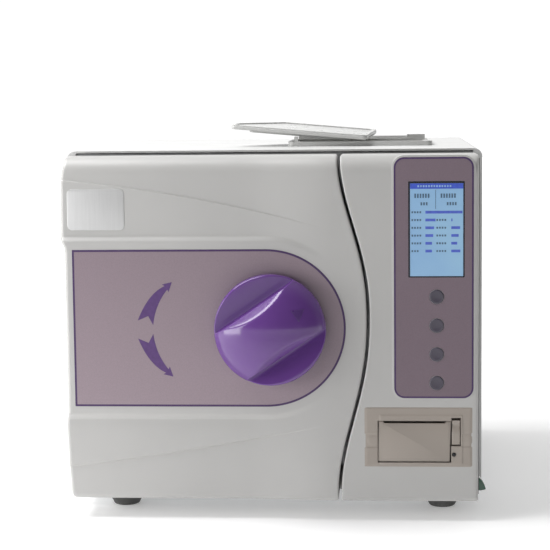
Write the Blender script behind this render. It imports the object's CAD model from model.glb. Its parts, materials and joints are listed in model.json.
"""Looks of the benchtop autoclave: pieces, materials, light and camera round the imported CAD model."""

import json
from math import acos, cos, exp, hypot, log, pi, radians, sin, sqrt

import bmesh
import bpy
from mathutils import Matrix, Vector


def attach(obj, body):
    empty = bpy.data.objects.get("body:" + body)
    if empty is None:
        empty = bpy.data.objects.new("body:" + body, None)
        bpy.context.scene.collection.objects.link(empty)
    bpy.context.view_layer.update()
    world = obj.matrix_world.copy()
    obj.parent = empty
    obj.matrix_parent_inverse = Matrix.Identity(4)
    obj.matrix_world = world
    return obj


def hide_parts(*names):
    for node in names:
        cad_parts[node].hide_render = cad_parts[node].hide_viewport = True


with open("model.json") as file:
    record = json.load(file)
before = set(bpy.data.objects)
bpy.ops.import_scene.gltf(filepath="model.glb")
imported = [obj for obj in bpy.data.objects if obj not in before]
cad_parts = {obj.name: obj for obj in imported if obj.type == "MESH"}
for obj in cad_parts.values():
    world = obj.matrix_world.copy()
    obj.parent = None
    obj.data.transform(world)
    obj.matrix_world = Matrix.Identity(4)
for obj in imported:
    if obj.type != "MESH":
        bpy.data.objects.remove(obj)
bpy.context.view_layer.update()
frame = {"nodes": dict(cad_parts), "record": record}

MM = 0.001

# Sizes and places in millimetres, in the CAD model's frame; a box seen from the front is (x0, x1, z0, z1)

# Plastic front: the door on the left and the fascia on the right
FACE_Y = -220
DOOR_REAR_Y = -170
FRONT_Z0 = 19.6
FRONT_Z1 = 363.8
FASCIA_X1 = 204
SEAM_GAP = 3.1
SEAM_ROUND = 1.6
TOP_ROUND = 18
LOW_ROUND = 6
LEFT_ROUND = 3.5
RIGHT_ROUND = 3
CHAMBER_Z = 194
HINGE_ZS = (CHAMBER_Z - 110, CHAMBER_Z + 110)

# Door trim
PANEL_X0 = -196.8
PANEL_CX = -4.5
PANEL_R = 78.5
BADGE = (-201.4, -144.5, 291.6, 332.5)
KNOB_R = 55
KNOB_H = 40
KNOB_BACK = FACE_Y - 1.5

# Controls and printer
OVERLAY = (121.4, 199, 124.4, 361.6)
SCREEN = (135.4, 190.3, 244, 338.2)
KEY_X = 163.1
KEY_ZS = [225 - 28.5 * i for i in range(4)]
KEY_R = 7
KEY_PROUD = 1
PRINTER = (90, 200, 53.8, 115.6)
PAPER_DOOR = (105.1, 177, 60, 101)
LEVER = (177.8, 186.4, 77.6, 104.2)
LAMP = (180, 68.1)
ROCKER_HINGE = (FASCIA_X1 - 1, 33.2)
ROCKER_Y = -195

# Feet, and the loose lid that lies askew on the tank's opening
FEET = [(x, y) for x in (-158, 170.5) for y in (-150, 202)]
FOOT_H = 23
COVER_TOP = 368
LID_PLACE = (25.5, -13.5, COVER_TOP + 17.3)
LID_TURN = (2.3, 4.9, -5.3)
LID_HALF = (73.5, 52.5)
LID_CUT = (42, 30)

# Printed marks are laid this far proud of their film, and reach this far into it
INK_PROUD = 0.06
INK_DEPTH = 0.1


def smoothstep(t):
    """Eases from 0 to 1 while t goes from 0 to 1."""
    t = min(1, max(0, t))
    return t * t * (3 - 2 * t)


# ---------------------------------------------------------------- mesh helpers


FLAT_AREA = 60 * MM * MM
SHARP_ANGLE = 32


def shade(mesh, sharp):
    """Smooth shading between small faces, with large plane faces kept flat."""
    for polygon in mesh.polygons:
        polygon.use_smooth = polygon.area < FLAT_AREA
    mesh.set_sharp_from_angle(angle=radians(sharp))


def mesh_object(name, bm, sharp=SHARP_ANGLE):
    """Turns a bmesh in millimetres into an object with smooth shading up to the sharp angle."""
    bmesh.ops.remove_doubles(bm, verts=bm.verts, dist=0.004)
    bmesh.ops.recalc_face_normals(bm, faces=bm.faces)
    bmesh.ops.scale(bm, vec=(MM, MM, MM), verts=bm.verts)
    mesh = bpy.data.meshes.new(name)
    bm.to_mesh(mesh)
    bm.free()
    shade(mesh, sharp)
    obj = bpy.data.objects.new(name, mesh)
    bpy.context.scene.collection.objects.link(obj)
    return obj


def apply_modifiers(obj):
    """Bakes the modifiers into the mesh, so that the sharp edges are found on the final shape."""
    bpy.context.view_layer.update()
    evaluated = obj.evaluated_get(bpy.context.evaluated_depsgraph_get())
    mesh = bpy.data.meshes.new_from_object(evaluated)
    obj.modifiers.clear()
    obj.data = mesh
    shade(mesh, SHARP_ANGLE)
    return obj


def bevelled(obj, width, segments=3):
    """Rounds the edges of a mesh where its faces turn by more than 30 degrees."""
    bevel = obj.modifiers.new("bevel", "BEVEL")
    bevel.width = width * MM
    bevel.segments = segments
    bevel.limit_method = "ANGLE"
    bevel.angle_limit = radians(30)
    return apply_modifiers(obj)


def round_rect(x0, x1, z0, z1, r, steps=8):
    """Outline of a rectangle with round corners."""
    corners = ((x1 - r, z1 - r, 0), (x0 + r, z1 - r, 90), (x0 + r, z0 + r, 180), (x1 - r, z0 + r, 270))
    return [
        (cx + r * cos(radians(start + 90 * i / steps)), cz + r * sin(radians(start + 90 * i / steps)))
        for cx, cz, start in corners
        for i in range(steps + 1)
    ]


def circle(cx, cz, r, steps=64):
    """Outline of a circle."""
    return [(cx + r * cos(2 * pi * i / steps), cz + r * sin(2 * pi * i / steps)) for i in range(steps)]


def frontal(name, outline, y0, y1, bevel=0, holes=(), segments=3):
    """Plate with an outline drawn as seen from the front, from y0 back to y1."""
    bm = bmesh.new()
    add_prism(bm, outline, y0, y1, holes)
    obj = mesh_object(name, bm)
    return bevelled(obj, bevel, segments) if bevel else obj


def add_wall(bm, a, b):
    """Closed wall of faces between two rings of vertices."""
    for i in range(len(a)):
        j = (i + 1) % len(a)
        bm.faces.new((a[i], a[j], b[j], b[i]))


def add_prism(bm, outline, y0, y1, holes=()):
    """Closed plate with square edges and any holes, from y0 back to y1."""
    loops = []
    for points in (outline, *holes):
        front = [bm.verts.new((x, y0, z)) for x, z in points]
        back = [bm.verts.new((x, y1, z)) for x, z in points]
        loops.append((front, back))
        add_wall(bm, front, back)
    for side in (0, 1):
        if not holes:
            bm.faces.new(loops[0][side])
            continue
        edges = []
        for loop in loops:
            ring = loop[side]
            for i in range(len(ring)):
                edges.append(bm.edges.get((ring[i], ring[(i + 1) % len(ring)])))
        bmesh.ops.triangle_fill(bm, edges=edges, use_beauty=True, use_dissolve=False)


def block(name, x0, x1, y0, y1, z0, z1, bevel=0):
    """Box as an object of its own."""
    return frontal(name, [(x0, z0), (x1, z0), (x1, z1), (x0, z1)], y0, y1, bevel)


def add_box(bm, x0, x1, y0, y1, z0, z1):
    """Box added to a mesh that holds other parts."""
    add_prism(bm, [(x0, z0), (x1, z0), (x1, z1), (x0, z1)], y0, y1)


def lathe(name, profile, centre, axis, steps=96):
    """Turned body: profile points are radius and height along the axis, from pole or rim to rim."""
    bm = bmesh.new()
    turn = Vector((0, 0, 1)).rotation_difference(Vector(axis)).to_matrix()
    rings = []
    for r, h in profile:
        count = 1 if r == 0 else steps
        ring = []
        for i in range(count):
            a = 2 * pi * i / steps
            ring.append(bm.verts.new(turn @ Vector((r * cos(a), r * sin(a), h)) + Vector(centre)))
        rings.append(ring)
    for a, b in zip(rings, rings[1:]):
        for i in range(steps):
            j = (i + 1) % steps
            corners = [a[i % len(a)], a[j % len(a)], b[j % len(b)], b[i % len(b)]]
            bm.faces.new(list(dict.fromkeys(corners)))
    return mesh_object(name, bm)


def joined(name, pieces):
    """One object from several of the same material."""
    bm = bmesh.new()
    for piece in pieces:
        bm.from_mesh(piece.data)
        bpy.data.objects.remove(piece)
    mesh = bpy.data.meshes.new(name)
    bm.to_mesh(mesh)
    bm.free()
    obj = bpy.data.objects.new(name, mesh)
    bpy.context.scene.collection.objects.link(obj)
    return obj


def placed(obj, place, turn):
    """Moves a mesh drawn at the origin to its place, turned by degrees about x, then y, then z."""
    rotation = Matrix.Identity(4)
    for degrees, axis in zip(turn, "XYZ"):
        rotation = Matrix.Rotation(radians(degrees), 4, axis) @ rotation
    obj.data.transform(Matrix.Translation(Vector(place) * MM) @ rotation)
    return obj


def add_grid(bm, grid):
    """Faces between the rows of a grid of vertices, whose border is returned as a ring."""
    for a, b in zip(grid, grid[1:]):
        for i in range(len(a) - 1):
            bm.faces.new((a[i], a[i + 1], b[i + 1], b[i]))
    right = [row[-1] for row in grid[1:-1]]
    left = [row[0] for row in grid[-2:0:-1]]
    return grid[0] + right + grid[-1][::-1] + left


def surface_shell(name, rows, rear_y, thickness=2.5):
    """Open-backed shell: a grid of front points, walls back from its border, and a wall thickness."""
    bm = bmesh.new()
    border = add_grid(bm, [[bm.verts.new(p) for p in row] for row in rows])
    add_wall(bm, border, [bm.verts.new((v.co.x, rear_y, v.co.z)) for v in border])
    obj = mesh_object(name, bm)
    solidify = obj.modifiers.new("wall", "SOLIDIFY")
    solidify.thickness = thickness * MM
    solidify.offset = -1
    return apply_modifiers(obj)


# ---------------------------------------------------------------- materials


class Shader:
    """A Principled material with small helpers for its procedural nodes."""

    def __init__(self, name, base, rough, metal=0.0, coat=0.0, specular=0.5):
        self.material = bpy.data.materials.new(name)
        self.material.use_nodes = True
        self.tree = self.material.node_tree
        self.bsdf = next(n for n in self.tree.nodes if n.type == "BSDF_PRINCIPLED")
        self.bsdf.inputs["Base Color"].default_value = (*base, 1)
        self.bsdf.inputs["Roughness"].default_value = rough
        self.bsdf.inputs["Metallic"].default_value = metal
        self.bsdf.inputs["Coat Weight"].default_value = coat
        self.bsdf.inputs["Coat Roughness"].default_value = 0.12
        self.bsdf.inputs["Specular IOR Level"].default_value = specular
        self.base = base
        self.rough = rough

    def node(self, kind, **values):
        """New node of a kind, with its settings."""
        node = self.tree.nodes.new(kind)
        for key, value in values.items():
            setattr(node, key, value)
        return node

    def link(self, output, target):
        self.tree.links.new(output, target)

    def coordinates(self, stretch=(1, 1, 1)):
        """Object coordinates, in metres times the stretch along each axis."""
        coord = self.node("ShaderNodeTexCoord")
        mapping = self.node("ShaderNodeMapping")
        mapping.inputs["Scale"].default_value = stretch
        self.link(coord.outputs["Object"], mapping.inputs["Vector"])
        return mapping.outputs["Vector"]

    def noise(self, scale, detail=3.0, stretch=(1, 1, 1), roughness=0.55):
        noise = self.node("ShaderNodeTexNoise")
        noise.inputs["Scale"].default_value = scale
        noise.inputs["Detail"].default_value = detail
        noise.inputs["Roughness"].default_value = roughness
        self.link(self.coordinates(stretch), noise.inputs["Vector"])
        return noise.outputs["Fac"]

    def remap(self, value, low, high, start=0.3, end=0.7):
        """Carries the range start to end over to low to high, and holds it there outside."""
        remap = self.node("ShaderNodeMapRange")
        remap.inputs["From Min"].default_value = start
        remap.inputs["From Max"].default_value = end
        remap.inputs["To Min"].default_value = low
        remap.inputs["To Max"].default_value = high
        self.link(value, remap.inputs["Value"])
        return remap.outputs["Result"]

    def mix(self, factor, a, b):
        """Blends two colours, each a tuple or a socket."""
        mix = self.node("ShaderNodeMix", data_type="RGBA")
        for socket, value in ((mix.inputs[6], a), (mix.inputs[7], b)):
            if isinstance(value, tuple):
                socket.default_value = (*value, 1)
            else:
                self.link(value, socket)
        self.link(factor, mix.inputs[0])
        return mix.outputs[2]

    def colour(self, output):
        self.link(output, self.bsdf.inputs["Base Color"])

    def mottle(self, scale, amount, stretch=(1, 1, 1)):
        """Slow drift of the colour either side of the base colour."""
        dark = tuple(c * (1 - amount) for c in self.base)
        light = tuple(min(1, c * (1 + amount)) for c in self.base)
        out = self.mix(self.remap(self.noise(scale, 3, stretch), 0, 1), dark, light)
        self.colour(out)
        return out

    def roughness(self, scale, spread, stretch=(1, 1, 1)):
        """Uneven gloss either side of the base roughness."""
        low = max(0.03, self.rough - spread)
        self.link(
            self.remap(self.noise(scale, 4, stretch), low, min(1, self.rough + spread)),
            self.bsdf.inputs["Roughness"],
        )

    def bump(self, height, depth, strength=0.5):
        bump = self.node("ShaderNodeBump")
        bump.inputs["Strength"].default_value = strength
        bump.inputs["Distance"].default_value = depth * MM
        self.link(height, bump.inputs["Height"])
        self.link(bump.outputs["Normal"], self.bsdf.inputs["Normal"])

    def grain(self, scale, depth, stretch=(1, 1, 1), strength=0.5):
        self.bump(self.noise(scale, 4, stretch), depth, strength)


def moulded(name, base, rough=0.42, texture=700, depth=0.05, coat=0.0):
    """Moulded plastic: fine spark-eroded grain and faint flow marks."""
    s = Shader(name, base, rough, coat=coat)
    s.mottle(9, 0.025)
    s.roughness(60, 0.06)
    s.grain(texture, depth)
    return s.material


def painted(name, base, rough=0.38):
    """Powder coat: orange peel, with dust-dulled patches."""
    s = Shader(name, base, rough)
    s.mottle(5, 0.02)
    s.roughness(30, 0.08)
    s.grain(420, 0.10, strength=0.6)
    return s.material


def brushed(name, base, rough=0.3, along=(1, 1, 40)):
    """Metal with a brushed direction: fine streaks in colour, gloss and height."""
    s = Shader(name, base, rough, metal=1.0)
    s.mottle(60, 0.10, along)
    s.roughness(90, 0.10, along)
    s.grain(220, 0.03, along)
    return s.material


def satin_plate(name, base):
    """Lacquered aluminium plate: a faint brushed grain under satin lacquer."""
    s = Shader(name, base, 0.34, metal=0.25, coat=0.2)
    s.mottle(30, 0.03, (40, 1, 1))
    s.roughness(80, 0.06, (40, 1, 1))
    s.grain(160, 0.02, (40, 1, 1))
    return s.material


def cast_metal(name, base, rough=0.35):
    """Drawn tube or casting, dulled unevenly by handling and heat."""
    s = Shader(name, base, rough, metal=1.0)
    s.mottle(40, 0.18)
    s.roughness(70, 0.14)
    s.grain(500, 0.05)
    return s.material


def rubber(name, base, rough=0.75):
    """Matt rubber with bloom and a fine pitted skin."""
    s = Shader(name, base, rough)
    dust = tuple(min(1, c * 1.6 + 0.02) for c in base)
    s.colour(s.mix(s.remap(s.noise(45, 5), 0, 1, 0.45, 0.75), base, dust))
    s.roughness(80, 0.12)
    s.grain(900, 0.09, strength=0.7)
    return s.material


def film(name, low, high, z0, z1, rough=0.34):
    """Printed polyester film: colour shades from bottom to top, under a faint satin texture."""
    s = Shader(name, low, rough, specular=0.45)
    split = s.node("ShaderNodeSeparateXYZ")
    s.link(s.coordinates(), split.inputs["Vector"])
    height = s.remap(split.outputs["Z"], 0, 1, z0 * MM, z1 * MM)
    tone = s.mix(height, low, high)
    speck = s.remap(s.noise(1400, 2), 0.94, 1.06)
    tint = s.node("ShaderNodeMix", data_type="RGBA", blend_type="MULTIPLY")
    tint.inputs[0].default_value = 1
    s.link(tone, tint.inputs[6])
    s.link(speck, tint.inputs[7])
    s.colour(tint.outputs[2])
    s.roughness(120, 0.05)
    s.grain(1100, 0.02)
    return s.material


def gloss_plastic(name, base, rough=0.16):
    """Polished moulding with hairline scratches."""
    s = Shader(name, base, rough, coat=0.35)
    s.mottle(14, 0.05)
    s.roughness(110, 0.05)
    s.bump(s.noise(260, 5, (1, 6, 1)), 0.012, 0.4)
    return s.material


def lcd_glass(name, low, high):
    """Backlit display: slightly uneven glow behind a clear window, over a fine cell pattern."""
    s = Shader(name, low, 0.12, specular=0.6)
    glow = s.mix(s.remap(s.noise(16, 2), 0, 1), low, high)
    s.colour(glow)
    s.link(glow, s.bsdf.inputs["Emission Color"])
    s.bsdf.inputs["Emission Strength"].default_value = 0.18
    s.roughness(200, 0.03)
    s.grain(2200, 0.008)
    return s.material


def printed_ink(name, base, rough=0.4):
    """Screen-printed ink, slightly uneven in colour and gloss."""
    s = Shader(name, base, rough)
    s.mottle(240, 0.12)
    s.roughness(300, 0.08)
    s.grain(900, 0.015)
    return s.material


def circuit_board(name, base):
    """Solder mask with copper tracks showing through as lighter lines."""
    s = Shader(name, base, 0.3)
    bricks = s.node("ShaderNodeTexBrick")
    bricks.inputs["Scale"].default_value = 90
    bricks.inputs["Mortar Size"].default_value = 0.03
    bricks.inputs["Color1"].default_value = (*base, 1)
    bricks.inputs["Color2"].default_value = (*(c * 0.85 for c in base), 1)
    bricks.inputs["Mortar"].default_value = (*(min(1, c * 1.9) for c in base), 1)
    swap = s.node("ShaderNodeMapping")
    swap.inputs["Rotation"].default_value = (radians(90), 0, 0)
    s.link(s.coordinates(), swap.inputs["Vector"])
    s.link(swap.outputs["Vector"], bricks.inputs["Vector"])
    s.colour(bricks.outputs["Color"])
    s.bump(bricks.outputs["Fac"], 0.05)
    s.roughness(150, 0.08)
    return s.material


def woven(name, base):
    """Glass-wool sleeve: a woven fabric skin."""
    s = Shader(name, base, 0.9)
    wave = s.node("ShaderNodeTexWave", wave_type="BANDS")
    wave.inputs["Scale"].default_value = 260
    wave.inputs["Distortion"].default_value = 2.5
    s.link(s.coordinates(), wave.inputs["Vector"])
    s.mottle(35, 0.12)
    s.bump(wave.outputs["Fac"], 0.4, 0.8)
    return s.material


def paper(name, base):
    """Thermal paper in rolled layers."""
    s = Shader(name, base, 0.85)
    s.mottle(120, 0.03, (1, 1, 12))
    s.grain(1300, 0.03, (0.2, 1, 1))
    return s.material


def backdrop(name, base):
    """Studio sheet: glows more with distance, and grows greyer in front of the object."""
    s = Shader(name, base, 0.9)
    split = s.node("ShaderNodeSeparateXYZ")
    s.link(s.coordinates(), split.inputs["Vector"])
    rear = s.remap(split.outputs["Y"], 0, 1, -0.9, -0.27)
    away = s.node("ShaderNodeVectorMath", operation="LENGTH")
    s.link(s.coordinates(), away.inputs[0])
    s.link(s.remap(away.outputs["Value"], 0.25, 0.8, 0.4, 2.2), s.bsdf.inputs["Emission Strength"])
    s.bsdf.inputs["Emission Color"].default_value = (1, 1, 1, 1)
    s.colour(s.mix(rear, tuple(c * 0.3 for c in base), s.mottle(3, 0.006)))
    s.roughness(8, 0.05)
    return s.material


FINISHES = {
    "cover_paint": painted("cover_paint", (0.64, 0.64, 0.632)),
    "zinc_sheet": brushed("zinc_sheet", (0.60, 0.61, 0.62), 0.42, (1, 30, 1)),
    "rubber_foot": rubber("rubber_foot", (0.085, 0.085, 0.083)),
    "front_plastic": moulded("front_plastic", (0.47, 0.465, 0.455), 0.36, 800, 0.03),
    "liner_plastic": moulded("liner_plastic", (0.70, 0.70, 0.68), 0.5),
    "overlay_film": film("overlay_film", (0.180, 0.135, 0.163), (0.192, 0.145, 0.175), 120, 362),
    "panel_film": film("panel_film", (0.305, 0.243, 0.275), (0.262, 0.205, 0.236), 115, 273),
    "display_glass": lcd_glass("display_glass", (0.20, 0.36, 0.58), (0.24, 0.42, 0.60)),
    "display_body": moulded("display_body", (0.02, 0.02, 0.024), 0.35),
    "circuit_board": circuit_board("circuit_board", (0.03, 0.18, 0.07)),
    "printer_plastic": moulded("printer_plastic", (0.34, 0.30, 0.265), 0.42, 600, 0.05),
    "printer_rubber": rubber("printer_rubber", (0.02, 0.02, 0.02)),
    "thermal_paper": paper("thermal_paper", (0.86, 0.86, 0.83)),
    "key_plastic": gloss_plastic("key_plastic", (0.060, 0.052, 0.076), 0.34),
    "black_plastic": moulded("black_plastic", (0.02, 0.02, 0.021), 0.4),
    "rocker_plastic": gloss_plastic("rocker_plastic", (0.02, 0.09, 0.05)),
    "badge_metal": satin_plate("badge_metal", (0.60, 0.60, 0.60)),
    "stainless": brushed("stainless", (0.62, 0.62, 0.63), 0.28, (1, 1, 30)),
    "machined_steel": cast_metal("machined_steel", (0.50, 0.50, 0.52), 0.32),
    "silicone": rubber("silicone", (0.62, 0.62, 0.58), 0.5),
    "knob_plastic": gloss_plastic("knob_plastic", (0.125, 0.048, 0.235), 0.14),
    "heater": brushed("heater", (0.40, 0.37, 0.34), 0.45),
    "glass_wool": woven("glass_wool", (0.66, 0.62, 0.48)),
    "tank_plastic": moulded("tank_plastic", (0.74, 0.74, 0.70), 0.5),
    "lid_plastic": moulded("lid_plastic", (0.58, 0.58, 0.57), 0.3, 900, 0.02),
    "pump_paint": painted("pump_paint", (0.06, 0.065, 0.075)),
    "pump_plastic": moulded("pump_plastic", (0.03, 0.07, 0.18)),
    "copper": cast_metal("copper", (0.72, 0.32, 0.17), 0.3),
    "brass": cast_metal("brass", (0.70, 0.48, 0.17), 0.28),
    "filter_plastic": moulded("filter_plastic", (0.58, 0.68, 0.76), 0.25),
}
INK_PURPLE = printed_ink("ink_purple", (0.092, 0.042, 0.160))
INK_BORDER = printed_ink("ink_border", (0.062, 0.030, 0.105))
INK_SCREEN = printed_ink("ink_screen", (0.006, 0.007, 0.014), 0.2)
INK_HEADER = printed_ink("ink_header", (0.050, 0.100, 0.560), 0.2)
INK_BAR = printed_ink("ink_bar", (0.080, 0.130, 0.560), 0.2)
INK_MARK = printed_ink("ink_mark", (0.070, 0.130, 0.200), 0.25)
INK_PALE = printed_ink("ink_pale", (0.250, 0.400, 0.700), 0.25)
KNOB_SHADE = gloss_plastic("knob_shade", (0.092, 0.038, 0.175), 0.3)


def finish(obj, body, slot, nodes=(), material=None):
    """Gives a piece its material and says what it rides on, which slot it uses and what it replaces."""
    obj.data.materials.clear()
    obj.data.materials.append(material or FINISHES[slot])
    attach(obj, body)
    if nodes:
        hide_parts(*nodes)
    return obj


def finish_cad_nodes():
    """Gives every CAD node the material of its slot."""
    slots = {s["node"]: s["material_slot"] for s in frame["record"]["subparts"]}
    for node, obj in frame["nodes"].items():
        obj.data.materials.clear()
        obj.data.materials.append(FINISHES[slots[node]])


# ---------------------------------------------------------------- plastic front


def seam_x(z):
    """Middle of the seam between door and fascia: it bulges to the right level with the chamber."""
    centre = CHAMBER_Z + 10
    fade = min(1, abs(z - centre) / (160.5 if z > centre else 176))
    return 67.4 + 28.6 / 2 * (1 + cos(pi * fade**1.15))


def round_corner(z, r=2.5):
    """How far a vertical edge draws in near the top and bottom corners."""
    near = r - min(z - FRONT_Z0, FRONT_Z1 - z)
    return r - sqrt(r * r - near * near) if near > 0 else 0


def door_left(z):
    """The hinge side leans out in a shallow swelling above the panel."""
    points = ((FRONT_Z0, -202.5), (29, -204.5), (60, -206), (98, -207.2), (110, -204.6),
              (272, -204.6), (284, -208.8), (338, -208.3), (FRONT_Z1, -205))
    for (z0, x0), (z1, x1) in zip(points, points[1:]):
        if z <= z1:
            return x0 + (x1 - x0) * smoothstep((z - z0) / (z1 - z0)) + round_corner(z)
    return points[-1][1] + round_corner(z)


def quarter(depth_in, r):
    """Set-back of a quarter-round edge, at a distance depth_in past the start of the round."""
    t = min(max(depth_in, 0), r)
    return r - sqrt(r * r - t * t)


def edge_round(z):
    """Set-back of the front near its top and bottom edges."""
    return quarter(z - (FRONT_Z1 - TOP_ROUND), TOP_ROUND) + quarter(FRONT_Z0 + LOW_ROUND - z, LOW_ROUND)


def upper_crease(x):
    """Height of the shallow curved crease that falls towards the seam above the panel."""
    return 306.4 - 0.2398 * x - 0.000346 * x * x


def lower_crease(x):
    """Height of the shallow curved crease that rises towards the seam below the panel."""
    return 85.4 + 0.1934 * x + 0.000173 * x * x


# The land reaches past the panel and ends in a chamfer; the leaves beyond the creases lie further back
PLATEAU_GROW = 7.4
CHAMFER_W = 6.4
PLATEAU_STEP = 4.2
LEAF_STEP = 1.3
LEAF_EDGE_W = 1.3


def relief_fade(x):
    """The steps in the door's face run out towards the seam."""
    return 1 - smoothstep((x + 25) / 85)


def door_relief(x, z):
    """Set-back of the door's face from the flat land that carries the panel."""
    beyond = hypot(max(0, x - PANEL_CX), z - CHAMBER_Z) - PANEL_R
    chamfer = smoothstep((beyond - PLATEAU_GROW) / CHAMFER_W)
    outside = max(z - upper_crease(x), lower_crease(x) - z)
    leaf = smoothstep(outside / LEAF_EDGE_W + 0.5)
    return relief_fade(x) * (PLATEAU_STEP * chamfer + LEAF_STEP * leaf)


# Grid columns across the rounded edges, as distances from the edge, and grid rows across the top and bottom
LEFT_OFFSETS = (0, 0.1, 0.3, 0.7, 1.2, 1.9, 2.7, LEFT_ROUND)
SEAM_OFFSETS = (SEAM_ROUND, 1.1, 0.65, 0.3, 0.1, 0)
LOW_ROWS = [FRONT_Z0 + LOW_ROUND * (1 - sin(radians(90 - a))) for a in range(0, 90, 10)]
HIGH_ROWS = [FRONT_Z1 - TOP_ROUND * (1 - sin(radians(a))) for a in range(6, 91, 6)]


def front_rows(features, spreads, counts):
    """Heights of the grid's rows: close ones at the spreads round each feature, and counts rows between."""
    stops = [FRONT_Z0 + LOW_ROUND]
    for z, spread in zip(features, spreads):
        stops += [z + s for s in spread]
    stops.append(FRONT_Z1 - TOP_ROUND)
    rows = []
    for a, b, count in zip(stops, stops[1:], counts):
        rows += [a + (b - a) * k / count for k in range(count)]
    return LOW_ROWS + rows + [stops[-1]] + HIGH_ROWS


CREASE_SPREAD = (-2.4, -1, -0.65, -0.3, 0, 0.3, 0.65, 1, 2.4)
CHAMFER_SPREAD = (-4.5, -3.2, -2.4, -1.5, -0.6, 0.6, 1.5, 2.4, 3.2, 4.5)


def door_rows(x):
    """Rows follow the creases and the chamfer, which keeps those edges clean."""
    reach = min(52, max(0, x - PANEL_CX))
    ring = sqrt((PANEL_R + PLATEAU_GROW + CHAMFER_W / 2) ** 2 - reach**2)
    features = (lower_crease(x), CHAMBER_Z - ring, CHAMBER_Z + ring, upper_crease(x))
    spreads = (CREASE_SPREAD, CHAMFER_SPREAD, CHAMFER_SPREAD, CREASE_SPREAD)
    counts = [10]
    for spread, gap_rows in zip(spreads, (12, 40, 12, 10)):
        counts += [1] * (len(spread) - 1) + [gap_rows]
    return front_rows(features, spreads, counts)


def door_shell():
    """Door cover. The places of its columns and rows depend on each other, so they are found in turns."""
    columns = 180
    rows = []
    for k in range(len(door_rows(0))):
        row = []
        for i in range(len(LEFT_OFFSETS) - 1 + columns + len(SEAM_OFFSETS)):
            x = -200 + 270 * i / columns
            for _ in range(3):
                z = door_rows(x)[k]
                left = door_left(z)
                right = seam_x(z) - SEAM_GAP / 2 - round_corner(z)
                x = door_column(i, left, right, columns)
            y = FACE_Y + door_relief(x, z) + edge_round(z)
            y += quarter(left + LEFT_ROUND - x, LEFT_ROUND) + quarter(x - right + SEAM_ROUND, SEAM_ROUND)
            row.append((x, y, z))
        rows.append(row)
    shell = surface_shell("door_shell", rows, DOOR_REAR_Y)
    for z in HINGE_ZS:
        cut_block(shell, -230, -192, -191, -165, z - 12, z + 12)
    finish(shell, "door", "front_plastic", ["door_cover"])


def door_column(i, left, right, columns):
    """Place of one column: close together in both rounded edges."""
    near = len(LEFT_OFFSETS) - 1
    if i < near:
        return left + LEFT_OFFSETS[i]
    if i >= near + columns:
        return right - SEAM_OFFSETS[i - near - columns]
    inner0 = left + LEFT_OFFSETS[-1]
    inner1 = right - SEAM_OFFSETS[0]
    return inner0 + (inner1 - inner0) * (i - near) / columns


def cut_block(obj, *box):
    """Cuts a box out of a closed mesh."""
    tool = block("tool", *box)
    boolean = obj.modifiers.new("cut", "BOOLEAN")
    boolean.operation = "DIFFERENCE"
    boolean.object = tool
    apply_modifiers(obj)
    bpy.data.objects.remove(tool)


def fascia_shell():
    """Fixed front on the right, with the land that carries the overlay, and the stop behind the seam."""
    rows = []
    for z in front_rows((), (), [110]):
        left = seam_x(z) + SEAM_GAP / 2 + round_corner(z)
        right = FASCIA_X1 - round_corner(z)
        inner0 = left + SEAM_OFFSETS[0]
        inner1 = right - RIGHT_ROUND
        columns = [left + d for d in SEAM_OFFSETS[::-1][:-1]]
        columns += [inner0 + (inner1 - inner0) * i / 60 for i in range(60)]
        columns += [inner1 + RIGHT_ROUND * sin(radians(a)) for a in range(0, 91, 15)]
        row = []
        for x in columns:
            y = FACE_Y + edge_round(z) + quarter(x - inner1, RIGHT_ROUND)
            y += quarter(left + SEAM_ROUND - x, SEAM_ROUND)
            row.append((x, y, z))
        rows.append(row)
    shell = surface_shell("fascia_shell", rows, DOOR_REAR_Y)
    px0, px1, pz0, pz1 = PRINTER
    cut_block(shell, px0 + 5, px1 - 5, FACE_Y - 5, FACE_Y + 8, pz0 + 4, pz1 - 4)
    z = ROCKER_HINGE[1]
    cut_block(shell, FASCIA_X1 - 8, FASCIA_X1 + 5, ROCKER_Y - 7, ROCKER_Y + 7, z - 8, z + 8)
    finish(shell, "machine", "front_plastic", ["side_fascia"])
    stop = block("seam_stop", 58, 78, DOOR_REAR_Y + 0.6, DOOR_REAR_Y + 5, FRONT_Z0 + 0.4, 44, 0.4)
    finish(stop, "machine", "front_plastic")
    x0, x1, z0, z1 = OVERLAY
    wells = [circle(KEY_X, z, KEY_R + 2.4, 32) for z in KEY_ZS]
    edge = round_rect(x0 - 2, x1 + 2, z0 - 2, z1 + 2, 12)
    land = frontal("overlay_land", edge, FACE_Y - 0.15, FACE_Y + 22, 0.5, wells)
    finish(land, "machine", "front_plastic")


# ---------------------------------------------------------------- door trim


def panel_outline(inset=0):
    """Square on the left, half round on the right, about the knob."""
    r = PANEL_R - inset
    arc = [(PANEL_CX + r * sin(radians(a)), CHAMBER_Z + r * cos(radians(a))) for a in range(0, 181, 3)]
    left = PANEL_X0 + inset
    return [(left, CHAMBER_Z + r), *arc, (left, CHAMBER_Z - r)]


def band(name, outer, inner, y0, y1):
    """Ring between two outlines that have the same number of points."""
    bm = bmesh.new()
    loops = [[bm.verts.new((x, y, z)) for x, z in line] for line, y in
             ((outer, y0), (inner, y0), (inner, y1), (outer, y1))]
    for a, b in zip(loops, loops[1:] + loops[:1]):
        add_wall(bm, a, b)
    return mesh_object(name, bm)


def ink(front):
    """Depths between which a mark is printed on a film with its front at this depth."""
    return front - INK_PROUD, front + INK_DEPTH


def curve(a, b, c, steps=14):
    """Points of a curve from a to c that leans towards b."""
    out = []
    for i in range(steps + 1):
        t = i / steps
        out.append(tuple((1 - t) ** 2 * a[k] + 2 * t * (1 - t) * b[k] + t * t * c[k] for k in (0, 1)))
    return out


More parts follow.
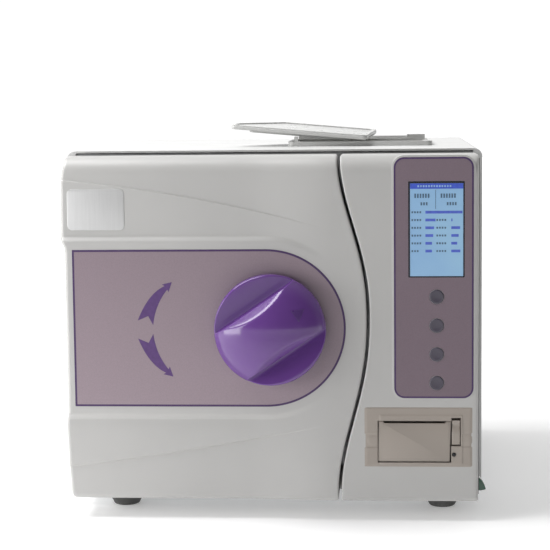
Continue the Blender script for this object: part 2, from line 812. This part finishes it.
def turn_arrow(flip):
    """Swallow-tailed arrow that follows a circle round the knob."""
    outer = curve((-132.3, 202), (-121.5, 229), (-104.9, 236.4))
    inner = curve((-102.3, 232.8), (-114.5, 218), (-116.9, 197.3))
    head = [(-107.6, 237.9), (-97.6, 240.3), (-101, 230.2)]
    outline = [*outer, *head, *inner, (-121.8, 206.4)]
    mirror_z = 193
    return [(x, 2 * mirror_z - z) for x, z in outline][::-1] if flip else outline


def door_trim():
    """Printed panel with its border and arrows, and the blank name plate."""
    front = FACE_Y - 0.3
    panel = frontal("door_panel_film", panel_outline(), front, FACE_Y + 1.2, 0.15, segments=1)
    finish(panel, "door", "panel_film", ["door_panel"])
    border = band("panel_border", panel_outline(0.05), panel_outline(2.0), *ink(front))
    finish(border, "door", "panel_film", material=INK_BORDER)
    for name, flip in (("arrow_upper", False), ("arrow_lower", True)):
        arrow = frontal(name, turn_arrow(flip), *ink(front))
        finish(arrow, "door", "panel_film", material=INK_PURPLE)
    x0, x1, z0, z1 = BADGE
    level = FACE_Y + PLATEAU_STEP
    badge = frontal("name_plate", round_rect(x0, x1, z0, z1, 5), level - 0.4, level + 1.5, 0.4)
    finish(badge, "door", "badge_metal", ["door_badge"])


# The grip crosses the knob at an angle, with a chamfer and a steep wall on both sides down to the hollows
GRIP_ANGLE = 34
GRIP_HALF = 28.2
GRIP_SLOPE = 12
CHAMFER_FOOT = 25
CHAMFER_SLOPE = 1.5
KNOB_FLOOR = 13
KNOB_RIM = 5
KNOB_BLEND = 0.9


def knob_height(s, t):
    """Height of the knob's face: a dome with chamfered cuts on both sides of the grip, down to hollows."""
    r = min(1, hypot(s, t) / KNOB_R)
    dome = KNOB_FLOOR + (KNOB_H - KNOB_FLOOR) * (1 - r * r) ** 0.68
    floor = KNOB_FLOOR - 1 + KNOB_RIM * smoothstep((abs(t) - GRIP_HALF) / (KNOB_R - GRIP_HALF))
    depth_in = GRIP_HALF - abs(t)
    wall = KNOB_FLOOR - 1 + depth_in * GRIP_SLOPE
    chamfer = CHAMFER_FOOT + depth_in * CHAMFER_SLOPE
    cut = max(floor, min(wall, chamfer))
    return -KNOB_BLEND * log_sum(-dome / KNOB_BLEND, -cut / KNOB_BLEND)


def log_sum(a, b):
    """Smooth maximum of two values."""
    top = max(a, b)
    return top + log(exp(a - top) + exp(b - top))


def door_knob():
    """Grid of rows parallel to the grip, so that its edges come out straight."""
    ts = sorted(
        {round(KNOB_R * sin(radians(a)), 4) for a in range(-90, 91, 3)}
        | {round(s * (GRIP_HALF + d), 4) for s in (-1, 1) for d in
           [-11 + 0.25 * i for i in range(44)] + [0, 0.2, 0.6, 1.2, 2.5, 4]}
    )
    grip = radians(GRIP_ANGLE)
    bm = bmesh.new()

    def vertex(s, t, h):
        x = s * cos(grip) - t * sin(grip)
        z = s * sin(grip) + t * cos(grip)
        return bm.verts.new((x, KNOB_BACK - h, CHAMBER_Z + z))

    rim = 1.0
    columns = 144
    grid = []
    for t in ts:
        reach = sqrt(max(0, KNOB_R**2 - t * t))
        row = []
        for i in range(columns + 1):
            s = reach * sin(radians(-90 + 180 * i / columns))
            edge = quarter(hypot(s, t) - (KNOB_R - rim), rim)
            row.append(vertex(s, t, knob_height(s, t) - edge))
        grid.append(row)
    border = add_grid(bm, grid)
    ring = border
    for shrink, level in ((1.0, 4.0), (0.985, 1.2), (0.94, 0.0)):
        back = [
            bm.verts.new((v.co.x * shrink, KNOB_BACK - level, CHAMBER_Z + (v.co.z - CHAMBER_Z) * shrink))
            for v in border
        ]
        add_wall(bm, ring, back)
        ring = back
    hub = bm.verts.new((0, KNOB_BACK, CHAMBER_Z))
    for i in range(len(ring)):
        bm.faces.new((ring[i], ring[(i + 1) % len(ring)], hub))
    bmesh.ops.dissolve_degenerate(bm, dist=0.002, edges=bm.edges)
    finish(mesh_object("round_knob", bm, 75), "knob", "knob_plastic", ["door_knob"])
    finish(knob_mark(), "knob", "knob_plastic", material=KNOB_SHADE)


def knob_mark():
    """Engraved pointer triangle, laid on the dome."""
    corners = [Vector((20.4, 22.6)), Vector((36.0, 24.0)), Vector((30.0, 9.2))]
    grip = radians(GRIP_ANGLE)
    bm = bmesh.new()
    steps = 12
    grid = {}
    for i in range(steps + 1):
        for j in range(steps + 1 - i):
            p = corners[0] + (corners[1] - corners[0]) * i / steps + (corners[2] - corners[0]) * j / steps
            s = p.x * cos(grip) + p.y * sin(grip)
            t = -p.x * sin(grip) + p.y * cos(grip)
            lift = 0.10 if 0 < i and 0 < j and i + j < steps else -0.12
            grid[i, j] = bm.verts.new((p.x, KNOB_BACK - knob_height(s, t) - lift, CHAMBER_Z + p.y))
    for i in range(steps):
        for j in range(steps - i):
            bm.faces.new((grid[i, j], grid[i + 1, j], grid[i, j + 1]))
            if i + j < steps - 1:
                bm.faces.new((grid[i + 1, j], grid[i + 1, j + 1], grid[i, j + 1]))
    return mesh_object("knob_pointer", bm)


# ---------------------------------------------------------------- controls


def control_overlay():
    """Printed film with openings for the display and the keys."""
    front = FACE_Y - 0.35
    x0, x1, z0, z1 = OVERLAY
    sx0, sx1, sz0, sz1 = SCREEN
    window = [(sx0, sz0), (sx0, sz1), (sx1, sz1), (sx1, sz0)]
    keys = [circle(KEY_X, z, KEY_R + 0.3, 48) for z in KEY_ZS]
    edge = round_rect(x0, x1, z0, z1, 10)
    overlay = frontal("overlay_sheet", edge, front, FACE_Y + 1, holes=[window, *keys])
    finish(overlay, "machine", "overlay_film", ["control_overlay"])
    rim = band(
        "overlay_border",
        round_rect(x0 + 0.05, x1 - 0.05, z0 + 0.05, z1 - 0.05, 10),
        round_rect(x0 + 1.7, x1 - 1.7, z0 + 1.7, z1 - 1.7, 8.4),
        *ink(front),
    )
    finish(rim, "machine", "overlay_film", material=INK_BORDER)


MARK_H = 1.9
BAR_H = 2.7
ROWS_Z0 = 30.2
ROW_PITCH = 7.6
# Lengths of the left and right value bars in each row of the display, top to bottom
BAR_LENGTHS = ((36, 0), (9.8, 1.2), (8.4, 8.6), (7.6, 7.2), (6.4, 5.8), (6.4, 8.8))
LABEL_LENGTHS = ((11.4, 0), (11.6, 12.6), (11.8, 12.4), (12, 12.2), (11.2, 12), (9.4, 12.2))


def screen_strokes(bm, x, z, length, height, y):
    """A run of short upright dashes that stands for a printed label."""
    pitch = 2.6
    for i in range(int(length / pitch)):
        left = x + i * pitch
        add_box(bm, left, left + pitch * 0.62, y, y + 0.1, z - height / 2, z + height / 2)


def display():
    """Lit window under a header bar, with rows of plain dashes and bars for its lettering."""
    x0, x1, z0, z1 = SCREEN
    face = FACE_Y - 0.25
    glass = frontal("display_face", round_rect(x0, x1, z0, z1, 0.6, 3), face, FACE_Y + 1, 0.1, segments=1)
    finish(glass, "machine", "display_glass", ["display_window"])
    front = face - INK_PROUD
    rim = band(
        "display_rim",
        round_rect(x0 + 0.02, x1 - 0.02, z0 + 0.02, z1 - 0.02, 0.5, 3),
        round_rect(x0 + 1.8, x1 - 1.5, z0 + 1.3, z1 - 2.1, 0.3, 3),
        front - 0.04,
        front + 0.1,
    )
    finish(rim, "machine", "display_glass", material=INK_SCREEN)
    header = block("display_header", x0 + 1.9, x1 - 1.6, front, front + 0.1, z1 - 7.4, z1 - 2.2)
    finish(header, "machine", "display_glass", material=INK_HEADER)
    title = bmesh.new()
    screen_strokes(title, x0 + 9, z1 - 4.8, 34, 1.9, front - 0.04)
    finish(mesh_object("display_title", title), "machine", "display_glass", material=INK_PALE)
    marks = bmesh.new()
    bars = bmesh.new()
    for column, length in ((6, 16.5), (31.5, 18)):
        screen_strokes(marks, x0 + column, z1 - 14.2, length, 4.2, front)
        screen_strokes(marks, x0 + column + 6, z1 - 22, length * 0.62, 3.0, front)
    add_box(marks, x0 + 26.4, x0 + 26.9, front, front + 0.1, z1 - 27, z1 - 8.4)
    for i, (bar_pair, label_pair) in enumerate(zip(BAR_LENGTHS, LABEL_LENGTHS)):
        z = z1 - ROWS_Z0 - i * ROW_PITCH
        for bar, label, label_x, bar_x in (
            (bar_pair[0], label_pair[0], 3.2, 16.7),
            (bar_pair[1], label_pair[1], 27.4, 41.8),
        ):
            screen_strokes(marks, x0 + label_x, z, label, MARK_H, front)
            if bar:
                left = x0 + bar_x
                add_box(bars, left, left + bar, front, front + 0.1, z - BAR_H / 2, z + BAR_H / 2)
    finish(mesh_object("display_marks", marks), "machine", "display_glass", material=INK_MARK)
    finish(mesh_object("display_bars", bars), "machine", "display_glass", material=INK_BAR)


def keys():
    """Round key caps with a shallow dish, a rounded edge, a flange behind the film and a stem."""
    r = KEY_R
    top = KEY_PROUD
    edge = 0.8
    profile = [(0, top - 0.35), (r * 0.35, top - 0.3), (r * 0.62, top - 0.12), (r * 0.8, top)]
    for a in range(0, 91, 18):
        profile.append((r - edge + edge * sin(radians(a)), top - edge + edge * cos(radians(a))))
    profile += [(r, -4), (r + 1.5, -4), (r + 1.5, -5.5), (2, -5.5), (2, -11), (0, -11)]
    for i, z in enumerate(KEY_ZS, 1):
        cap = lathe(f"key_cap_{i}", profile, (KEY_X, FACE_Y, z), (0, -1, 0), 64)
        finish(cap, f"key_{i}", "key_plastic", [f"key_{i}"])


# ---------------------------------------------------------------- printer


def relief_plate(name, x_lines, z_lines, height, keep, back):
    """Plate drawn on a grid of lines, whose front steps between the heights of its cells."""
    bm = bmesh.new()
    grid = {}
    for i, x in enumerate(x_lines):
        for j, z in enumerate(z_lines):
            grid[i, j] = bm.verts.new((x, FACE_Y - height(x, z), z))
    for i in range(len(x_lines) - 1):
        for j in range(len(z_lines) - 1):
            centre = ((x_lines[i] + x_lines[i + 1]) / 2, (z_lines[j] + z_lines[j + 1]) / 2)
            if keep(*centre):
                bm.faces.new((grid[i, j], grid[i + 1, j], grid[i + 1, j + 1], grid[i, j + 1]))
    bmesh.ops.delete(bm, geom=[v for v in bm.verts if not v.link_faces], context="VERTS")
    edges = [e for e in bm.edges if len(e.link_faces) == 1]
    extruded = bmesh.ops.extrude_edge_only(bm, edges=edges)["geom"]
    for v in extruded:
        if isinstance(v, bmesh.types.BMVert):
            v.co.y = FACE_Y + back
    return mesh_object(name, bm, 40)


def spaced(a, b, step):
    """Even places from a up to b, without b, about a step apart."""
    count = max(1, round(abs(b - a) / step))
    return [a + (b - a) * i / count for i in range(count)]


def feature_lines(start, end, features, step=3.0, soft=0.5):
    """Grid lines from start to end, doubled close to each feature."""
    stops = sorted({start, end, *(f + s for f in features for s in (-soft, -soft / 3, soft / 3, soft))})
    stops = [s for s in stops if start <= s <= end]
    lines = []
    for a, b in zip(stops, stops[1:]):
        lines += spaced(a, b, step)
    return lines + [end]


def within(value, low, high, soft=0.5):
    """1 between low and high, falling to 0 over the soft width at both ends."""
    return smoothstep((value - low + soft) / (2 * soft)) * smoothstep((high - value + soft) / (2 * soft))


# Raised middle of the printer's bezel, and the finger tabs on its sides
CENTRE = (107.1, 188.4, 58.4, 107.4)
TAB_L = (96.4, 105.0, 74.8, 88.6)
TAB_R = (188.8, 196.2, 75.6, 89.6)


def bezel_height(x, z):
    """How far the bezel's front stands proud: softly rounded borders, a raised middle and two tabs."""
    px0, px1, pz0, pz1 = PRINTER
    pillow = min(smoothstep((x - px0) / 5), smoothstep((px1 - x) / 5),
                 smoothstep((z - pz0) / 4.5), smoothstep((pz1 - z) / 1.2))
    height = -0.3 + 0.9 * pillow
    height += 0.4 * within(x, CENTRE[0], CENTRE[1]) * within(z, CENTRE[2], CENTRE[3])
    for tab in (TAB_L, TAB_R):
        height -= 0.4 * pillow * within(x, tab[0] - 9, tab[1] + 9) * within(z, tab[2], tab[3])
        middle = (tab[2] + tab[3]) / 2
        bump = hypot(max(0, abs(x - (tab[0] + tab[1]) / 2) - 1.5), z - middle)
        height += 0.45 * smoothstep((4.6 - bump) / 1.0)
    return height


def printer():
    """Bezel, case and lamp, with the paper door and its lever."""
    px0, px1, pz0, pz1 = PRINTER
    dx0, dx1, dz0, dz1 = PAPER_DOOR
    lx0, lx1, lz0, lz1 = LEVER
    opening_xs = [dx0 - 0.5, dx1 + 0.5, lx0 - 0.4, lx1 + 0.5]
    opening_zs = [dz0 - 0.5, dz1 + 0.5, lz0 - 1.4, lz1 + 0.8]
    xs = feature_lines(px0, px1, [*CENTRE[:2], *opening_xs, 95, 194.5], 1.6)
    zs = feature_lines(pz0, pz1, [*CENTRE[2:], *opening_zs, *TAB_L[2:], *TAB_R[2:], 57, 113.5], 1.6)

    def solid_cell(x, z):
        door = dx0 - 0.5 < x < dx1 + 0.4 and dz0 - 0.5 < z < dz1 + 0.6
        lever = lx0 - 0.5 < x < lx1 + 0.4 and lz0 - 1.2 < z < lz1 + 0.6
        return not (door or lever)

    bezel = relief_plate("printer_bezel", xs, zs, bezel_height, solid_cell, 3.5)
    finish(bezel, "machine", "printer_plastic")
    case = bmesh.new()
    cx0, cx1, cz0, cz1 = px0 + 6, px1 - 6, pz0 + 2, pz1 - 4
    bay = (108, 174, pz0 + 3.5, pz1 - 6)
    add_box(case, cx0, bay[0], FACE_Y + 4, FACE_Y + 48, cz0, cz1)
    add_box(case, bay[1], cx1, FACE_Y + 7, FACE_Y + 48, cz0, cz1)
    add_box(case, bay[0], bay[1], FACE_Y + 4, FACE_Y + 48, cz0, bay[2])
    add_box(case, bay[0], bay[1], FACE_Y + 4, FACE_Y + 48, bay[3], cz1)
    add_box(case, bay[0], bay[1], FACE_Y + 46, FACE_Y + 48, bay[2], bay[3])
    add_box(case, bay[0], bay[1], -206.8, -202.9, 93, bay[3])
    finish(mesh_object("printer_case", case), "machine", "printer_plastic", ["printer_frame"])
    lamp = lathe("printer_lamp", [(0, 0.1), (0.9, 0.05), (1.3, -0.2), (1.7, -0.2), (2.1, 0.1), (2.1, -3)],
                 (LAMP[0], FACE_Y - 1.2, LAMP[1]), (0, -1, 0), 32)
    finish(lamp, "machine", "printer_plastic", material=FINISHES["black_plastic"])
    paper_door(dx0, dx1, dz0, dz1)
    lever = lever_cap(lx0 + 0.3, lx1 - 0.3, lz0, lz1)
    finish(lever, "lever", "printer_plastic", ["printer_lever"])


def paper_door(x0, x1, z0, z1):
    """Flap with a notch along its top edge that leaves the paper slot."""
    slot0, slot1 = 111.5, 171.5
    notch = 1.8
    outline = [(x0, z0 + 0.6), (x1 - 1.2, z0 + 0.6), (x1, z1), (slot1 + 1, z1), (slot1, z1 - notch),
               (slot0, z1 - notch), (slot0 - 1, z1), (x0 + 0.8, z1)]
    face = frontal("paper_flap", outline, FACE_Y + 0.2, FACE_Y + 2.4, 0.45, segments=2)
    ears = bmesh.new()
    for x in (108.5, 171.5):
        add_box(ears, x, x + 2, FACE_Y + 2.3, -208, 89.5, 98)
    rim = mesh_object("ears", ears)
    flap = joined("paper_flap", [face, rim])
    finish(flap, "paper_door", "printer_plastic", ["printer_door"])


def lever_cap(x0, x1, z0, z1):
    """Narrow tab, scooped near its top for a fingertip."""
    bm = bmesh.new()
    steps = 40
    rows = []
    for i in range(steps + 1):
        z = z0 + (z1 - 2.2 - z0) * i / steps
        scoop = 1.6 * exp(-(((z - (z1 - 8)) / 4.5) ** 2))
        front = FACE_Y - 0.2 + scoop + quarter(0.8 - (z - z0), 0.8)
        rows.append([bm.verts.new(p) for p in
                     ((x0, FACE_Y + 4, z), (x0, front + 0.5, z), (x0 + 0.5, front, z),
                      (x1 - 0.5, front, z), (x1, front + 0.5, z), (x1, FACE_Y + 4, z))])
    for a, b in zip(rows, rows[1:]):
        for j in range(6):
            k = (j + 1) % 6
            bm.faces.new((a[j], a[k], b[k], b[j]))
    bm.faces.new(rows[0])
    bm.faces.new(rows[-1])
    return mesh_object("lever_tab", bm, 40)


# ---------------------------------------------------------------- switch, feet, tank lid


def power_switch():
    """Rocker on the fascia's right side."""
    hx, hz = ROCKER_HINGE
    shape = [(-3, 6), (1, 6.6), (3.8, 6.2), (6, 3.6), (8, 0), (9.9, -5.2), (4.6, -6.5), (-3, -6.2)]
    outline = [(hx + x, hz + z) for x, z in shape]
    rocker = frontal("switch_rocker", outline, ROCKER_Y - 4.7, ROCKER_Y + 4.7, 0.7)
    finish(rocker, "rocker", "rocker_plastic", ["power_rocker"])


def feet():
    """Four turned rubber feet with a screw recess, a rounded sole and a wider collar."""
    profile = [(0, 5), (6, 5), (6, 0), (11, 0)]
    profile += [(11 + 3 * sin(radians(a)), 3 - 3 * cos(radians(a))) for a in range(15, 76, 15)]
    profile += [(17.2, 8.6), (18.2, 10.2), (18.5, 12), (18.5, FOOT_H), (0, FOOT_H)]
    pieces = []
    for i, (x, y) in enumerate(FEET):
        pieces.append(lathe(f"foot_{i}", profile, (x, y, 0), (0, 0, 1), 64))
    finish(joined("rubber_feet", pieces), "machine", "rubber_foot", ["feet"])


def lid_outline(inset):
    """Rectangle with one corner cut off across the left end, all corners rounded."""
    x, y = LID_HALF[0] - inset, LID_HALF[1] - inset
    cut_x = -LID_HALF[0] + LID_CUT[0] + inset * 0.4
    cut_y = -LID_HALF[1] + LID_CUT[1] - inset * 0.4
    corners = [(-x, -y), (x, -y), (x, y), (cut_x, y), (-x, cut_y)]
    r = 5
    out = []
    for i, corner in enumerate(corners):
        p = Vector(corner)
        a = (Vector(corners[i - 1]) - p).normalized()
        b = (Vector(corners[(i + 1) % len(corners)]) - p).normalized()
        half = acos(max(-1, min(1, a.dot(b)))) / 2
        reach = r * cos(half) / sin(half)
        centre = p + (a + b).normalized() * (r / sin(half))
        start = p + a * reach - centre
        end = p + b * reach - centre
        for k in range(7):
            ray = start.lerp(end, k / 6).normalized() * r
            out.append(tuple(centre + ray))
    return out


def planar(name, outline, z0, z1, bevel=0, holes=()):
    """Plate with an outline drawn in plan, from z0 up to z1."""
    obj = frontal(name, outline, z0, z1, holes=holes)
    obj.data.transform(Matrix(((1, 0, 0, 0), (0, 0, 1, 0), (0, 1, 0, 0), (0, 0, 0, 1))))
    obj.data.flip_normals()
    return bevelled(obj, bevel) if bevel else obj


def tank_lid():
    """Lid plate with a raised rim, and a plug ring below that locates it in the opening."""
    top = planar("lid_top", lid_outline(0), -2.5, 1.2, 0.9)
    rim = planar("lid_rim", lid_outline(0.4), 1.0, 2.5, 0.6, [lid_outline(4)[::-1]])
    plug = planar("lid_plug", lid_outline(17), -5.5, -2.4, 0.6, [lid_outline(19)[::-1]])
    lid = joined("tank_lid_cap", [top, rim, plug])
    shade(lid.data, SHARP_ANGLE)
    finish(placed(lid, LID_PLACE, LID_TURN), "lid", "lid_plastic", ["tank_lid"])


# ---------------------------------------------------------------- light, floor and camera


def studio():
    """Pale floor, a world that is bright behind the object and dim in front, and two soft lights."""
    scene = bpy.context.scene
    scene.view_settings.view_transform = "Standard"
    scene.view_settings.look = "None"
    world = bpy.data.worlds.new("studio")
    scene.world = world
    world.use_nodes = True
    tree = world.node_tree
    background = tree.nodes["Background"]
    coord = tree.nodes.new("ShaderNodeTexCoord")
    dot = tree.nodes.new("ShaderNodeVectorMath")
    dot.operation = "DOT_PRODUCT"
    dot.inputs[1].default_value = Vector((-0.4, 1, 0.1)).normalized()
    ramp = tree.nodes.new("ShaderNodeMapRange")
    ramp.inputs["From Min"].default_value = -0.6
    ramp.inputs["From Max"].default_value = 0.7
    ramp.inputs["To Min"].default_value = 0.06
    ramp.inputs["To Max"].default_value = 1.05
    tree.links.new(coord.outputs["Generated"], dot.inputs[0])
    tree.links.new(dot.outputs["Value"], ramp.inputs["Value"])
    tree.links.new(ramp.outputs["Result"], background.inputs["Strength"])
    background.inputs["Color"].default_value = (1, 1, 1, 1)
    floor = planar("floor", circle(0, 0, 9000, 96), -12, -0.2)
    floor.data.materials.append(backdrop("pale_floor", (0.9, 0.9, 0.9)))
    area_light("top_softbox", (-0.95, -0.2, 1.85), (0, 0, 0.2), 1.3, 1.3, 38)
    area_light("left_softbox", (-1.0, -0.78, 0.28), (0, -0.2, 0.2), 0.7, 0.7, 8)


def area_light(name, place, target, width, height, power):
    """Rectangular softbox in metres and watts, aimed at a target and hidden from the camera."""
    data = bpy.data.lights.new(name, "AREA")
    data.shape = "RECTANGLE"
    data.size = width
    data.size_y = height
    data.energy = power
    light = bpy.data.objects.new(name, data)
    light.location = place
    light.visible_camera = False
    light.rotation_euler = (Vector(target) - Vector(place)).to_track_quat("-Z", "Y").to_euler()
    bpy.context.scene.collection.objects.link(light)


def camera():
    """Seen slightly from the right and above, from almost two metres away."""
    yaw, pitch, roll = radians(3.99), radians(6.23), radians(-0.62)
    forward = Vector((-sin(yaw) * cos(pitch), cos(yaw) * cos(pitch), -sin(pitch)))
    level = Vector((cos(yaw), sin(yaw), 0))
    upward = level.cross(forward)
    right = level * cos(roll) + upward * sin(roll)
    up = upward * cos(roll) - level * sin(roll)
    data = bpy.data.cameras.new("camera")
    data.lens = 108.6
    data.sensor_width = 36
    data.clip_end = 50
    obj = bpy.data.objects.new("camera", data)
    turn = Matrix((right, up, -forward)).transposed().to_4x4()
    obj.matrix_world = Matrix.Translation(Vector((117.6, -1838.7, 424.1)) * MM) @ turn
    bpy.context.scene.collection.objects.link(obj)
    bpy.context.scene.camera = obj


finish_cad_nodes()
door_shell()
fascia_shell()
door_trim()
door_knob()
control_overlay()
display()
keys()
printer()
power_switch()
feet()
tank_lid()
studio()
camera()
